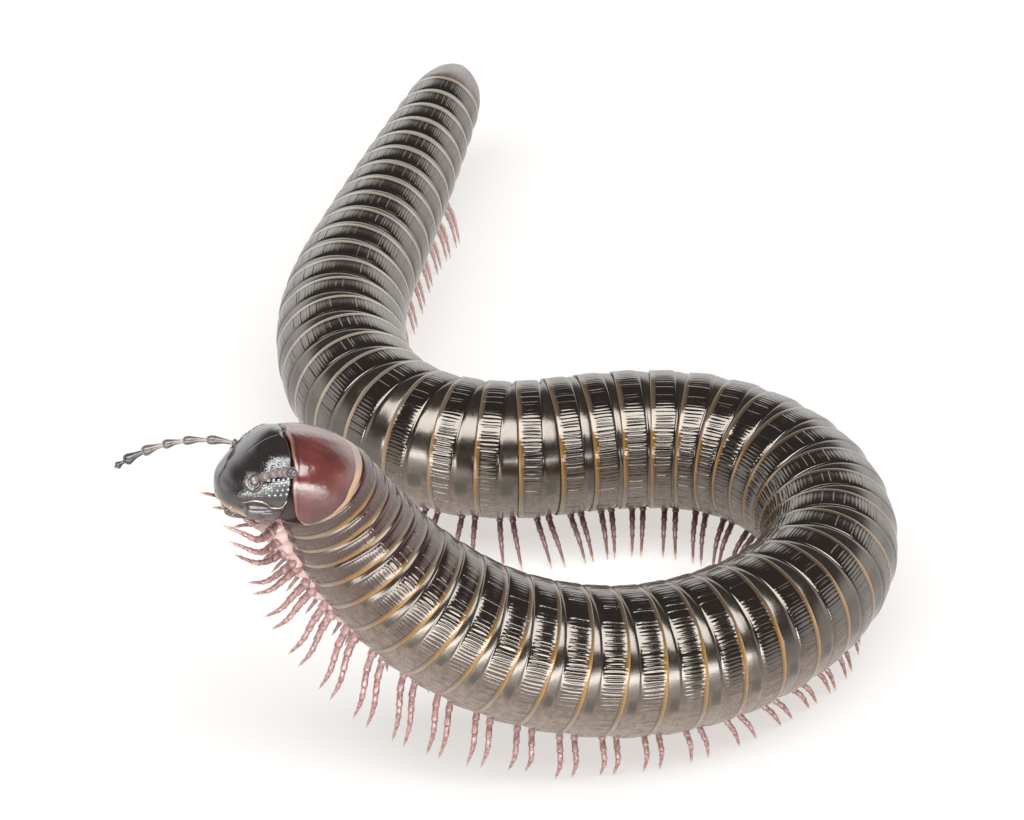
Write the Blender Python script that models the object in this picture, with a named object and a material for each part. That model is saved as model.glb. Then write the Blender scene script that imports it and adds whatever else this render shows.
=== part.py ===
"""A large glossy black millipede as a still, life-size model: it lies in an S on the floor with its
front end raised, its feelers out and its many pairs of legs under it.

The body is one path of rings. Ring 1 is the collum, the shield behind the head, and ring 57 is the last
one before the telson. A ring's number is also a place on the path: its rear margin lies there.
All sizes below are in millimetres and degrees, with the floor at Z 0.
"""
import math
import random

import bmesh
import bpy
import numpy as np
from mathutils import Matrix, Quaternion, Vector

MM = 0.001
GAP = 0.3

# The path: ring number and value, for its heading, its slope, the length of a ring and the body's radius
START = (-11.32, -29.75)
HEADING = ((0, 32), (2, 18), (5, -8), (8, -3), (12, 7), (16, 24), (20, 52), (24, 97), (28, 144), (31, 180),
           (33.5, 192), (36, 172), (40, 121), (44, 90), (48, 76), (58, 76))
SLOPE = ((0, -60), (3, -61), (6, -51), (10, -32.5), (12, -20.5), (14, -12), (16, -4), (18, 0), (58, 0))
RING_LENGTH = ((0, 1.15), (4, 1.22), (6, 1.4), (8, 1.67), (10, 1.9), (14, 2.1), (20, 2.1), (30, 2.07), (35, 1.92),
               (41, 2.2), (48, 2.1), (58, 2.08))
RADIUS = ((1, 2.9), (4, 3.27), (8, 3.8), (12, 4.12), (16, 4.23), (24, 3.92), (31, 4.05), (38, 4.05), (44, 3.9),
          (50, 3.4), (54, 2.9), (57, 2.4))
AXIS_HEIGHT = 6.3
LAST_RING = 57
STEPS_PER_RING = 16

# The trunk: its lengths of rings, the shape of one ring and the sides of its outline
FIRST_TRUNK_RING = 2
RINGS_PER_LENGTH = 7
RING_PROFILE = ((0.0, 0.955), (0.31, 0.98), (0.93, 1.0))
RING_SIDES = 16
BELLY_FLAT = 0.93

# The legs: which rings carry them and where along a ring. A knee is given by how far out and what share down it
# lies, and by its share of the splay, which is how much farther out than usual the foot stands
LAST_LEG_RING = 55
SINGLE_PAIR_RINGS = (2, 3, 4)
PAIR_PLACES = (0.16, 0.5)
SINGLE_PLACE = 0.3
ROOT_OUT = 0.5
ROOT_DEPTH = 0.55
KNEES = ((1.2, 0.16, 0.15), (1.75, 0.5, 0.6))
USUAL_FOOT_OUT = 2.0
LEG_WIDTHS = (0.56, 0.54, 0.5, 0.24)
# Place on the path and value, for a foot's distance out, its reach below the belly and its step to the head
FOOT_OUT_LEFT = ((2, 1.3), (12, 1.1), (17, 1.6), (21, 2.0), (40, 2.0), (46, 2.5), (56, 2.5))
FOOT_OUT_RIGHT = ((2, 1.3), (6, 1.6), (9, 2.6), (12, 3.0), (18, 2.8), (24, 2.4), (29, 3.3), (41, 3.3), (46, 2.5),
                  (56, 2.5))
LEG_REACH_LEFT = ((1.3, 2.6), (3.3, 2.9), (5, 3.6), (7, 4.4), (8, 4.6), (10, 4.1), (12, 3.5), (15, 2.8), (18, 2.4),
                  (42, 2.6), (50, 3.1), (56, 3.9))
LEG_REACH_RIGHT = ((1.3, 2.6), (3.3, 2.9), (6, 3.4), (8.5, 2.9), (11, 2.5), (18, 2.4), (42, 2.6), (50, 3.1),
                   (56, 3.9))
FOOT_LEAD = ((1.3, 3.1), (3.3, 1.9), (4.5, -0.2), (6, -1.2), (8, -1.8), (9.5, -2.2), (11, -1.5), (12.5, -0.4),
             (14, -0.2), (16, -0.7), (18, -1.3), (22, -0.6), (30, 0.2), (40, 0.4), (56, 0.4))
LEAD_SHARES = (0.18, 0.56)
FLOOR_REACH = 0.5
STEP_WAVE = 0.45
STEP_WAVE_LEGS = 11.0
OUT_WAVE = 0.2
STEP_CHANCE = 0.06
SEED = 7

# The ridge that carries the first legs: place and how far it stands below the belly, and its rows
RIDGE_DROP = ((1.3, 1.1), (5, 1.0), (8, 0.6), (11, 0.05))
RIDGE_HALF_WIDTH = 0.75
RIDGE_INSET = 0.25
RIDGE_ROWS = 6
RIDGE_SIDES = 8

# The head: the step from the path to its back, how it is turned, and its outline in level slices
NECK_STEP = Vector((-1.4, -0.4, 0.1))
HEAD_YAW = 17
HEAD_TILT = 12
HEAD_ROLL = 2
HEAD_BACK = 0.3
HEAD_SLICES = ((-2.3, 2.0, 0.95), (-1.95, 2.8, 1.62), (-1.4, 3.42, 2.05), (-0.6, 3.56, 2.43), (0.1, 3.2, 2.6),
               (0.8, 2.64, 2.52), (1.4, 2.12, 2.28), (1.9, 1.65, 1.85), (2.27, 1.15, 1.25), (2.46, 0.7, 0.6))
HEAD_SIDES = 20
SOCKET = (2.1, 1.72, 0.64)
EYE = (0.92, 2.08, 0.95)
EYE_SIZE = (0.72, 0.45, 0.85)
EYE_TURN = 25
MANDIBLE = (1.3, 1.9, -1.0)
MANDIBLE_SIZE = (1.1, 0.7, 0.55)
MOUTH_PLATE = (1.5, 0.0, -2.1)
MOUTH_PLATE_SIZE = (1.4, 1.0, 0.5)

# The collum: a saddle from the first trunk ring to the head
COLLUM_FRONT_RADIUS = 2.75
COLLUM_STATIONS = 6
COLLUM_SIDES = 18
COLLUM_REAR_WRAP = 118
COLLUM_FRONT_WRAP = 108

# The feelers: the joints' lengths, and their thick and thin radii
FEELER_JOINTS = (0.5, 1.4, 1.25, 1.1, 1.15, 1.05, 0.5)
FEELER_THICK = (0.3, 0.29, 0.28, 0.28, 0.31, 0.3, 0.18)
FEELER_THIN = 0.19
FEELER_SIDES = 7
FEELER_LEFT = ((0.52, -0.56, 0.65), (0.24, -0.84, 0.5))
FEELER_RIGHT = ((-0.94, 0.13, 0.32), (-0.86, -0.33, -0.4))

# The telson, the last piece behind ring 57
TELSON_LENGTH = 4.4
TELSON_SHAPE = ((0.0, 0.95), (0.3, 0.9), (0.55, 0.76), (0.78, 0.52), (0.93, 0.28), (1.0, 0.1))
TELSON_DROOP = 0.35

COLOURS = {
    "trunk": ((0.030, 0.024, 0.022), 0.28),
    "collum": ((0.110, 0.030, 0.030), 0.25),
    "head": ((0.060, 0.048, 0.045), 0.30),
    "eye": ((0.008, 0.008, 0.010), 0.20),
    "mouth": ((0.040, 0.034, 0.034), 0.30),
    "feeler": ((0.110, 0.075, 0.068), 0.40),
    "telson": ((0.330, 0.230, 0.200), 0.40),
}


def smooth(knots, place):
    """The value at a place on a smooth curve through the knots that doesn't overshoot them."""
    x = np.array([knot[0] for knot in knots], float)
    y = np.array([knot[1] for knot in knots], float)
    rise = np.diff(y) / np.diff(x)
    same = rise[:-1] * rise[1:] > 0
    inner = np.zeros(len(x) - 2)
    inner[same] = 2 * rise[:-1][same] * rise[1:][same] / (rise[:-1] + rise[1:])[same]
    slope = np.concatenate([rise[:1], inner, rise[-1:]])
    place = np.clip(place, x[0], x[-1])
    i = np.clip(np.searchsorted(x, place, side="right") - 1, 0, len(x) - 2)
    width = x[i + 1] - x[i]
    t = (place - x[i]) / width
    start_part = (2 * t**3 - 3 * t**2 + 1) * y[i] + (t**3 - 2 * t**2 + t) * width * slope[i]
    end_part = (3 * t**2 - 2 * t**3) * y[i + 1] + (t**3 - t**2) * width * slope[i + 1]
    return start_part + end_part


def body_path():
    """The rings' places and directions along the body, from the neck to the tail."""
    places = np.arange((LAST_RING + 1) * STEPS_PER_RING + 1) / STEPS_PER_RING
    heading = np.radians(smooth(HEADING, places))
    slope = np.radians(smooth(SLOPE, places))
    back = np.stack([np.cos(slope) * np.cos(heading), np.cos(slope) * np.sin(heading), np.sin(slope)], 1)
    length = smooth(RING_LENGTH, places) / STEPS_PER_RING
    steps = (back[1:] + back[:-1]) / 2 * ((length[1:] + length[:-1]) / 2)[:, None]
    points = np.concatenate([[[0.0, 0.0, 0.0]], np.cumsum(steps, 0)])
    points[:, :2] += START
    points[:, 2] += AXIS_HEIGHT - points[-1, 2]
    return places, points, back


PLACES, POINTS, BACKS = body_path()


def body_frame(place):
    """The body's axis point at a place, its tailward, upward and leftward directions, and its radius."""
    point = Vector([np.interp(place, PLACES, POINTS[:, axis]) for axis in range(3)])
    back = Vector([np.interp(place, PLACES, BACKS[:, axis]) for axis in range(3)]).normalized()
    up = (Vector((0, 0, 1)) - back * back.z).normalized()
    return point, back, up, back.cross(up), float(smooth(RADIUS, place))


def head_axes():
    """The head's forward, leftward and upward directions."""
    yaw = math.radians(HEAD_YAW)
    tilt = math.radians(HEAD_TILT)
    forward = Vector((-math.cos(tilt) * math.cos(yaw), -math.cos(tilt) * math.sin(yaw), math.sin(tilt)))
    left = Vector((math.sin(yaw), -math.cos(yaw), 0))
    turn = Quaternion(forward, math.radians(-HEAD_ROLL))
    left.rotate(turn)
    return forward, left, forward.cross(left)


FORWARD, LEFT, UP = head_axes()
NECK = Vector(POINTS[0]) + NECK_STEP


def head_point(forward, left, up):
    return NECK + FORWARD * forward + LEFT * left + UP * up


def mesh_through(rows):
    """A closed mesh through rows of points, with a flat face over the first and the last row."""
    mesh = bpy.data.meshes.new("rows")
    shape = bmesh.new()
    rings = [[shape.verts.new(point) for point in row] for row in rows]
    sides = len(rows[0])
    for first, second in zip(rings, rings[1:]):
        for i in range(sides):
            j = (i + 1) % sides
            shape.faces.new((first[i], first[j], second[j], second[i]))
    shape.faces.new(rings[0][::-1])
    shape.faces.new(rings[-1])
    bmesh.ops.recalc_face_normals(shape, faces=shape.faces)
    bmesh.ops.scale(shape, vec=(MM, MM, MM), verts=shape.verts)
    shape.to_mesh(mesh)
    shape.free()
    return mesh


def ellipsoid_mesh(centre, axes, size, detail=2):
    """A closed egg shape with its half sizes along three directions."""
    mesh = bpy.data.meshes.new("egg")
    shape = bmesh.new()
    bmesh.ops.create_icosphere(shape, subdivisions=detail, radius=1)
    turn = Matrix([axis * length for axis, length in zip(axes, size)]).transposed()
    for vert in shape.verts:
        vert.co = (centre + turn @ vert.co) * MM
    shape.to_mesh(mesh)
    shape.free()
    return mesh


def add_object(name, mesh, kind=None):
    thing = bpy.data.objects.new(name, mesh)
    bpy.context.scene.collection.objects.link(thing)
    if kind:
        colour, roughness = COLOURS[kind]
        material = bpy.data.materials.new(name)
        material.use_nodes = True
        surface = material.node_tree.nodes["Principled BSDF"]
        surface.inputs["Base Color"].default_value = (*colour, 1)
        surface.inputs["Roughness"].default_value = roughness
        surface.inputs["Metallic"].default_value = 0
        mesh.materials.append(material)
    return thing


def combine(target, meshes, operation):
    """Adds closed meshes to the target, or cuts them out of it, in one Boolean."""
    group = bpy.data.collections.new("tools")
    bpy.context.scene.collection.children.link(group)
    tools = []
    for mesh in meshes:
        tool = bpy.data.objects.new("tool", mesh)
        group.objects.link(tool)
        tools.append(tool)
    change = target.modifiers.new("change", "BOOLEAN")
    change.operand_type = "COLLECTION"
    change.collection = group
    change.operation = operation
    change.solver = "EXACT"
    bpy.context.view_layer.update()
    graph = bpy.context.evaluated_depsgraph_get()
    result = bpy.data.meshes.new_from_object(target.evaluated_get(graph))
    target.modifiers.remove(change)
    target.data = result
    for tool in tools:
        bpy.data.objects.remove(tool)
    bpy.data.collections.remove(group)
    keep_largest(result)


def keep_largest(mesh):
    """Drops all but the largest closed surface of a mesh."""
    shape = bmesh.new()
    shape.from_mesh(mesh)
    bmesh.ops.remove_doubles(shape, verts=shape.verts, dist=1e-7)
    unseen = set(shape.verts)
    groups = []
    while unseen:
        start = unseen.pop()
        group = [start]
        for vert in group:
            for edge in vert.link_edges:
                other = edge.other_vert(vert)
                if other in unseen:
                    unseen.remove(other)
                    group.append(other)
        groups.append(group)
    groups.sort(key=len)
    bmesh.ops.delete(shape, geom=[vert for group in groups[:-1] for vert in group], context="VERTS")
    shape.to_mesh(mesh)
    shape.free()


def shade(thing):
    thing.data.shade_smooth()
    thing.data.set_sharp_from_angle(angle=math.radians(40))


def ring_outline(place, share):
    """The points around the body at a place, with a slightly flat belly."""
    point, _, up, left, radius = body_frame(place)
    outline = []
    for side in range(RING_SIDES):
        angle = 2 * math.pi * side / RING_SIDES
        height = max(math.cos(angle), -BELLY_FLAT)
        outline.append(point + (up * height + left * math.sin(angle)) * radius * share)
    return outline


def trunk_mesh(first, last):
    """The rings from first to last as one solid."""
    rows = []
    for ring in range(first, last + 1):
        for along, share in RING_PROFILE:
            place = ring - 1 + along
            if ring == first and along == 0:
                place += GAP / 2 / float(smooth(RING_LENGTH, first))
            rows.append(ring_outline(place, share))
    return mesh_through(rows)


def leg_mesh(place, side, number, chance):
    """One leg: a jointed arm from inside the belly to a small foot, which is flat where it meets the floor."""
    point, back, up, left, radius = body_frame(place)
    out = left * side
    belly = radius * BELLY_FLAT
    drop = float(smooth(RIDGE_DROP, place))
    reach = float(smooth(LEG_REACH_LEFT if side == 1 else LEG_REACH_RIGHT, place))
    wave = math.sin(2 * math.pi * number / STEP_WAVE_LEGS + side)
    lead = float(smooth(FOOT_LEAD, place)) + STEP_WAVE * wave + chance.uniform(-STEP_CHANCE, STEP_CHANCE)
    foot_out = float(smooth(FOOT_OUT_LEFT if side == 1 else FOOT_OUT_RIGHT, place)) + OUT_WAVE * wave
    foot = point + out * foot_out - up * (belly + reach) - back * lead
    stands = foot.z < FLOOR_REACH
    if stands:
        reach *= point.z / (point.z - foot.z)
        foot.z = 0
    splay = max(foot_out - USUAL_FOOT_OUT, 0.0)
    points = [point + out * ROOT_OUT - up * (belly + drop - ROOT_DEPTH)]
    for (knee_out, knee_down, splay_share), share in zip(KNEES, LEAD_SHARES):
        down = belly + drop + (reach - drop) * knee_down
        points.append(point + out * (knee_out + splay * splay_share) - up * down - back * lead * share)
    points.append(foot)
    rows = []
    for i, (spot, width) in enumerate(zip(points, LEG_WIDTHS)):
        before = points[max(i - 1, 0)]
        after = points[min(i + 1, len(points) - 1)]
        along = (after - before).normalized()
        if stands and i == len(points) - 1:
            along = Vector((0, 0, -1))
        across = along.cross(back).normalized()
        other = along.cross(across)
        half = width / math.sqrt(2)
        rows.append([spot + across * half, spot + other * half, spot - across * half, spot - other * half])
    return mesh_through(rows)


def ridge_mesh(first, last):
    """The ridge under the belly between the roots of the first legs, from one ring to another."""
    start = first - 1 + RIDGE_INSET
    end = min(last - RIDGE_INSET, RIDGE_DROP[-1][0])
    rows = []
    for i in range(RIDGE_ROWS):
        place = start + (end - start) * i / (RIDGE_ROWS - 1)
        point, _, up, left, radius = body_frame(place)
        half_height = (float(smooth(RIDGE_DROP, place)) + ROOT_DEPTH) / 2
        centre = point - up * (radius * BELLY_FLAT - ROOT_DEPTH + half_height)
        row = []
        for side in range(RIDGE_SIDES):
            angle = 2 * math.pi * side / RIDGE_SIDES
            row.append(centre + up * half_height * math.cos(angle) + left * RIDGE_HALF_WIDTH * math.sin(angle))
        rows.append(row)
    return mesh_through(rows)


def leg_meshes(first, last, chance):
    meshes = [ridge_mesh(first, last)] if first < RIDGE_DROP[-1][0] else []
    for ring in range(first, min(last, LAST_LEG_RING) + 1):
        places = (SINGLE_PLACE,) if ring in SINGLE_PAIR_RINGS else PAIR_PLACES
        for order, along in enumerate(places):
            for side in (1, -1):
                meshes.append(leg_mesh(ring - 1 + along, side, 2 * ring + order, chance))
    return meshes


def add_trunk():
    chance = random.Random(SEED)
    for first in range(FIRST_TRUNK_RING, LAST_RING + 1, RINGS_PER_LENGTH):
        last = first + RINGS_PER_LENGTH - 1
        trunk = add_object(f"trunk_rings_{first:02d}_{last:02d}", trunk_mesh(first, last), "trunk")
        combine(trunk, leg_meshes(first, last, chance), "UNION")
        shade(trunk)


def head_outline(height, front, half_width):
    """One level slice of the head: flat behind and round in front."""
    outline = []
    arc = HEAD_SIDES - 2
    for i in range(arc + 1):
        angle = math.pi * i / arc
        forward = HEAD_BACK + (front - HEAD_BACK) * math.sin(angle) ** 0.8
        outline.append(head_point(forward, half_width * math.cos(angle), height))
    return outline


def add_head():
    head = add_object("head", mesh_through([head_outline(*row) for row in HEAD_SLICES]), "head")
    cuts = []
    axes = (FORWARD, LEFT, UP)
    seats = [("mouth_plate", MOUTH_PLATE, axes, MOUTH_PLATE_SIZE, "mouth")]
    for side, label in ((1, "left"), (-1, "right")):
        turn = Quaternion(UP, math.radians(side * EYE_TURN))
        eye_axes = [turn @ axis for axis in axes]
        eye = (EYE[0], side * EYE[1], EYE[2])
        mandible = (MANDIBLE[0], side * MANDIBLE[1], MANDIBLE[2])
        seats.append((f"eye_{label}", eye, eye_axes, EYE_SIZE, "eye"))
        seats.append((f"mandible_{label}", mandible, axes, MANDIBLE_SIZE, "mouth"))
        socket = head_point(SOCKET[0], side * SOCKET[1], SOCKET[2])
        cuts.append(ellipsoid_mesh(socket, axes, [FEELER_THICK[0] + GAP] * 3))
    for name, place, directions, size, kind in seats:
        centre = head_point(*place)
        shade(add_object(name, ellipsoid_mesh(centre, directions, size), kind))
        cuts.append(ellipsoid_mesh(centre, directions, [length + GAP for length in size]))
    combine(head, cuts, "DIFFERENCE")
    shade(head)


def add_collum():
    """The saddle-shaped shield, turning from the first trunk ring to the head."""
    rear, back, up, left, radius = body_frame(1)
    inset = GAP / 2
    rows = []
    for station in range(COLLUM_STATIONS + 1):
        share = station / COLLUM_STATIONS
        facing = (-back).slerp(FORWARD, share)
        side = left.slerp(LEFT, share)
        over = facing.cross(side).normalized()
        centre = rear.lerp(NECK, share) + facing * (inset if station == 0 else 0)
        size = radius + (COLLUM_FRONT_RADIUS - radius) * share
        wrap = math.radians(COLLUM_REAR_WRAP + (COLLUM_FRONT_WRAP - COLLUM_REAR_WRAP) * share)
        row = []
        for i in range(COLLUM_SIDES):
            angle = wrap * (2 * i / (COLLUM_SIDES - 1) - 1)
            row.append(centre + (over * math.cos(angle) + side * math.sin(angle)) * size)
        rows.append(row)
    shade(add_object("collum", mesh_through(rows), "collum"))


def add_feeler(name, side, directions):
    """A feeler: joints that each swell towards their end, along a gentle curve."""
    start = head_point(SOCKET[0], side * SOCKET[1], SOCKET[2])
    first = Vector(directions[0]).normalized()
    last = Vector(directions[1]).normalized()
    total = sum(FEELER_JOINTS)
    rows = []
    point = start - first * FEELER_THICK[0] * 0.6
    travelled = 0
    for length, thick in zip(FEELER_JOINTS, FEELER_THICK):
        for share, width in ((0.0, FEELER_THIN), (0.72, thick), (0.9, thick * 0.85)):
            along = first.slerp(last, min((travelled + share * length) / total, 1))
            across = along.cross(Vector((0, 0, 1))).normalized()
            other = along.cross(across)
            centre = point + along * share * length
            row = []
            for i in range(FEELER_SIDES):
                angle = 2 * math.pi * i / FEELER_SIDES
                row.append(centre + (across * math.cos(angle) + other * math.sin(angle)) * width)
            rows.append(row)
        travelled += length
        point = point + first.slerp(last, min(travelled / total, 1)) * length
    shade(add_object(name, mesh_through(rows), "feeler"))


def add_telson():
    """The rounded last piece, tapering to a blunt tip."""
    point, back, up, left, radius = body_frame(LAST_RING)
    rows = []
    for share, width in TELSON_SHAPE:
        centre = point + back * (GAP / 2 + TELSON_LENGTH * share) - up * TELSON_DROOP * share**2
        row = []
        for side in range(RING_SIDES):
            angle = 2 * math.pi * side / RING_SIDES
            row.append(centre + (up * math.cos(angle) + left * math.sin(angle)) * radius * width)
        rows.append(row)
    shade(add_object("telson", mesh_through(rows), "telson"))


def main():
    for thing in list(bpy.data.objects):
        bpy.data.objects.remove(thing)
    add_trunk()
    add_collum()
    add_head()
    add_feeler("antenna_left", 1, FEELER_LEFT)
    add_feeler("antenna_right", -1, FEELER_RIGHT)
    add_telson()


main()
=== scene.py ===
"""The looks of the millipede model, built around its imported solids.

Sizes are in millimetres and degrees in the frame of the solids, with the floor at Z 0. A ring's number is
also the place of its rear margin on the body's path. Ring 1 is the collum, the shield behind the head.
"""
import math
import random

import bpy
import numpy as np
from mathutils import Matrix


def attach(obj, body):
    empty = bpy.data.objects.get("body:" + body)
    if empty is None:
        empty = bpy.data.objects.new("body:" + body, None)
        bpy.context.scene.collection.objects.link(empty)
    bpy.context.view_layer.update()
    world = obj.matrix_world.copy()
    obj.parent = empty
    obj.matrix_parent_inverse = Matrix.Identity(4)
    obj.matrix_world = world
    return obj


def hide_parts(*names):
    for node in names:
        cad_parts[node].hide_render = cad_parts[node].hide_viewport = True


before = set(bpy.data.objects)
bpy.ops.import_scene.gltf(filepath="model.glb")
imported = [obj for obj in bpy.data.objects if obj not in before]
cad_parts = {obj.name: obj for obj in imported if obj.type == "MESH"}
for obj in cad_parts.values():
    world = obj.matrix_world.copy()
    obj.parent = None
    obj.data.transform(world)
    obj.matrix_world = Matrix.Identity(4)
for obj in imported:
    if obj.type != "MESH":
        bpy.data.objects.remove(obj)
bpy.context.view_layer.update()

MM = 0.001
SEED = 7

# The path, as in the solids: ring number and value
START = (-11.32, -29.75)
HEADING = ((0, 32), (2, 18), (5, -8), (8, -3), (12, 7), (16, 24), (20, 52), (24, 97), (28, 144), (31, 180),
           (33.5, 192), (36, 172), (40, 121), (44, 90), (48, 76), (58, 76))
SLOPE = ((0, -60), (3, -61), (6, -51), (10, -32.5), (12, -20.5), (14, -12), (16, -4), (18, 0), (58, 0))
RING_LENGTH = ((0, 1.15), (4, 1.22), (6, 1.4), (8, 1.67), (10, 1.9), (14, 2.1), (20, 2.1), (30, 2.07),
               (35, 1.92), (41, 2.2), (48, 2.1), (58, 2.08))
RADIUS = ((1, 2.9), (4, 3.27), (8, 3.8), (12, 4.12), (16, 4.23), (24, 3.92), (31, 4.05), (38, 4.05),
          (44, 3.9), (50, 3.4), (54, 2.9), (57, 2.4))
AXIS_HEIGHT = 6.3
LAST_RING = 57
STEPS_PER_RING = 16
FIRST_TRUNK_RING = 2
RINGS_PER_LENGTH = 7
LENGTHS = [(first, first + RINGS_PER_LENGTH - 1)
           for first in range(FIRST_TRUNK_RING, LAST_RING + 1, RINGS_PER_LENGTH)]
BELLY_FLAT = 0.93

# The striae: each column's share of the way to the next stria and its depth, the depth by the turn from the
# back at 0 to the belly at 1 and by the ring, and what is left to chance
STRIAE = 112
STRIA_COLUMNS = ((0, 1), (0.13, 0.22), (0.5, 0), (0.87, 0.22))
STRIA_DEPTH = 0.034
STRIA_DEPTH_ROUND = ((0, 0.3), (0.12, 0.3), (0.28, 0.95), (0.64, 0.95), (0.82, 0.45), (1, 0.45))
STRIA_DEPTH_BY_RING = ((1, 0.15), (4, 0.15), (11, 1), (36, 1), (44, 0.6), (58, 0.6))
STRIA_DEPTH_CHANCE = (0.8, 1.1)
STRIA_END_CHANCE = (0.5, 1.05)
STRIA_END = (0.55, 0.95)
STRIA_SWAY = 0.22

# A ring's rows from its rear edge forward: how far on they lie, their share of the radius and the striae's
# depth. The first value is in mm on the lip and the margin, from 0 at the margin to 1 at the suture on the
# hard part, a share of the hard part at the suture, and a share of the way to the ring ahead on the front
HARD_SHARE = 0.74
MARGIN = 0.34
LIP_ROWS = ((0.16, 0.95), (0.02, 0.968), (-0.02, 0.984), (0.02, 0.997))
MARGIN_ROWS = ((0.08, 1, 0), (0.22, 1, 0.1), (0.3, 0.9985, 0.4), (0.35, 0.998, 0.8))
HARD_ROWS = ((0.14, 0.998, 1), (0.32, 1.001, 1), (0.52, 1.002, 1), (0.7, 1.001, 1), (0.84, 0.997, 0.8),
             (0.92, 0.992, 0.3))
SUTURE_ROWS = ((0.965, 0.988), (1, 0.974), (1.035, 0.982))
SUTURE_DEPTH = ((1, 0.4), (5, 0.4), (11, 1), (58, 1))
FRONT_ROWS = ((0.2, 0.983), (0.45, 0.982), (0.7, 0.975), (0.88, 0.962), (1, 0.938))
FRONT_TUCK = 0.16
RING_OVERLAP = 0.12
LEAST_SQUEEZE = 0.3
RING_CHANCE = 0.004
# How far along a ring its skin value is at the margin's end, at the suture and where the smooth front starts
MARGIN_MARK = 0.15
SUTURE_MARK = 0.65
FRONT_MARK = 0.7

# The legs, on the joints of the solids' legs
LAST_LEG_RING = 55
SINGLE_PAIR_RINGS = (2, 3, 4)
PAIR_PLACES = (0.16, 0.5)
SINGLE_PLACE = 0.3
ROOT_OUT = 0.5
ROOT_DEPTH = 0.55
KNEES = ((1.2, 0.16, 0.15), (1.75, 0.5, 0.6))
USUAL_FOOT_OUT = 2
# By place on the path: how far out the feet stand and how far below the belly, on the left side, 1, and on
# the right side, -1, and how far they lie ahead of their roots
FOOT_OUT = {1: ((2, 1.3), (12, 1.1), (17, 1.6), (21, 2), (40, 2), (46, 2.5), (56, 2.5)),
            -1: ((2, 1.3), (6, 1.6), (9, 2.6), (12, 3), (18, 2.8), (24, 2.4), (29, 3.3), (41, 3.3),
                 (46, 2.5), (56, 2.5))}
LEG_REACH = {1: ((1.3, 2.6), (3.3, 2.9), (5, 3.6), (7, 4.4), (8, 4.6), (10, 4.1), (12, 3.5), (15, 2.8),
                 (18, 2.4), (42, 2.6), (50, 3.1), (56, 3.9)),
             -1: ((1.3, 2.6), (3.3, 2.9), (6, 3.4), (8.5, 2.9), (11, 2.5), (18, 2.4), (42, 2.6),
                  (50, 3.1), (56, 3.9))}
FOOT_LEAD = ((1.3, 3.1), (3.3, 1.9), (4.5, -0.2), (6, -1.2), (8, -1.8), (9.5, -2.2), (11, -1.5), (12.5, -0.4),
             (14, -0.2), (16, -0.7), (18, -1.3), (22, -0.6), (30, 0.2), (40, 0.4), (56, 0.4))
LEAD_SHARES = (0.18, 0.56)
FLOOR_REACH = 0.5
STEP_WAVE = 0.45
STEP_WAVE_LEGS = 11
OUT_WAVE = 0.2
STEP_CHANCE = 0.06
RIDGE_DROP = ((1.3, 1.1), (5, 1), (8, 0.6), (11, 0.05))
RIDGE_HALF_WIDTH = 0.75
LEG_ARTICLES = (0, 0.15, 0.31, 0.46, 0.59, 0.71, 0.92, 1)
LEG_RADII = (0.27, 0.205, 0.188, 0.17, 0.152, 0.125, 0.058)
ARTICLE_SHAPE = ((0, 0.78), (0.1, 0.92), (0.5, 0.95), (0.8, 1.1), (0.94, 1.04))
CLAW_SHAPE = ((0, 0.9), (0.35, 0.7), (1, 0.1))
LEG_SIDES = 10
FRONT_LEG_STOUT = 0.35
# By ring: how stout the legs' roots are, and how dark the legs are painted as shade, with legs painted pale
# as glare below 0
LEG_STOUT = ((1, 1), (7, 1), (11, 0), (56, 0))
LEG_SHADE_AND_GLARE = ((1, 0), (18, 0), (26, 1), (39, 1), (46, -0.7), (56, -0.7))
PLATE_SIZE = (0.95, 0.45)

# The head, as in the solids. Its slices are each one's height, forward reach and half width
NECK_STEP = (-1.4, -0.4, 0.1)
HEAD_YAW = 17
HEAD_TILT = 12
HEAD_ROLL = 2
HEAD_BACK = 0.3
HEAD_SLICES = ((-2.3, 2, 0.95), (-1.95, 2.8, 1.62), (-1.4, 3.42, 2.05), (-0.6, 3.56, 2.43), (0.1, 3.2, 2.6),
               (0.8, 2.64, 2.52), (1.4, 2.12, 2.28), (1.9, 1.65, 1.85), (2.27, 1.15, 1.25), (2.46, 0.7, 0.6))
HEAD_REACH, HEAD_HALF_WIDTH = ([(row[0], row[i]) for row in HEAD_SLICES] for i in (1, 2))
HEAD_ROUNDING = 0.8
HEAD_LEVELS = 150
HEAD_COLUMNS = 220
SOCKET = (2.1, 1.72, 0.64)
SOCKET_SEAT = (2.12, 0.68)
EYE = (0.92, 2.08, 0.95)
MANDIBLE = (1.3, 1.9, -1)
MANDIBLE_SIZE = (1.12, 0.7, 0.56)
MOUTH_PLATE = (1.5, 0, -2.1)
MOUTH_PLATE_SIZE = (1.4, 1, 0.5)

# The ocelli: each row's reach and height on the head at its front and at its rear, and its number of beads
OCELLI_ROWS = ((1.22, 1.62, 0.9, 1.8, 2), (1.55, 1.42, 0.72, 1.66, 4), (1.7, 1.2, 0.52, 1.46, 6),
               (1.72, 0.96, 0.44, 1.22, 6), (1.66, 0.72, 0.4, 0.96, 6), (1.54, 0.48, 0.4, 0.68, 5),
               (1.34, 0.24, 0.44, 0.4, 4))
OCELLUS_RADIUS = 0.128
OCELLUS_RISE = 0.07
EYE_FIELD_RISE = 0.02
EYE_FIELD_SIZE = (0.85, 0.95)
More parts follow.
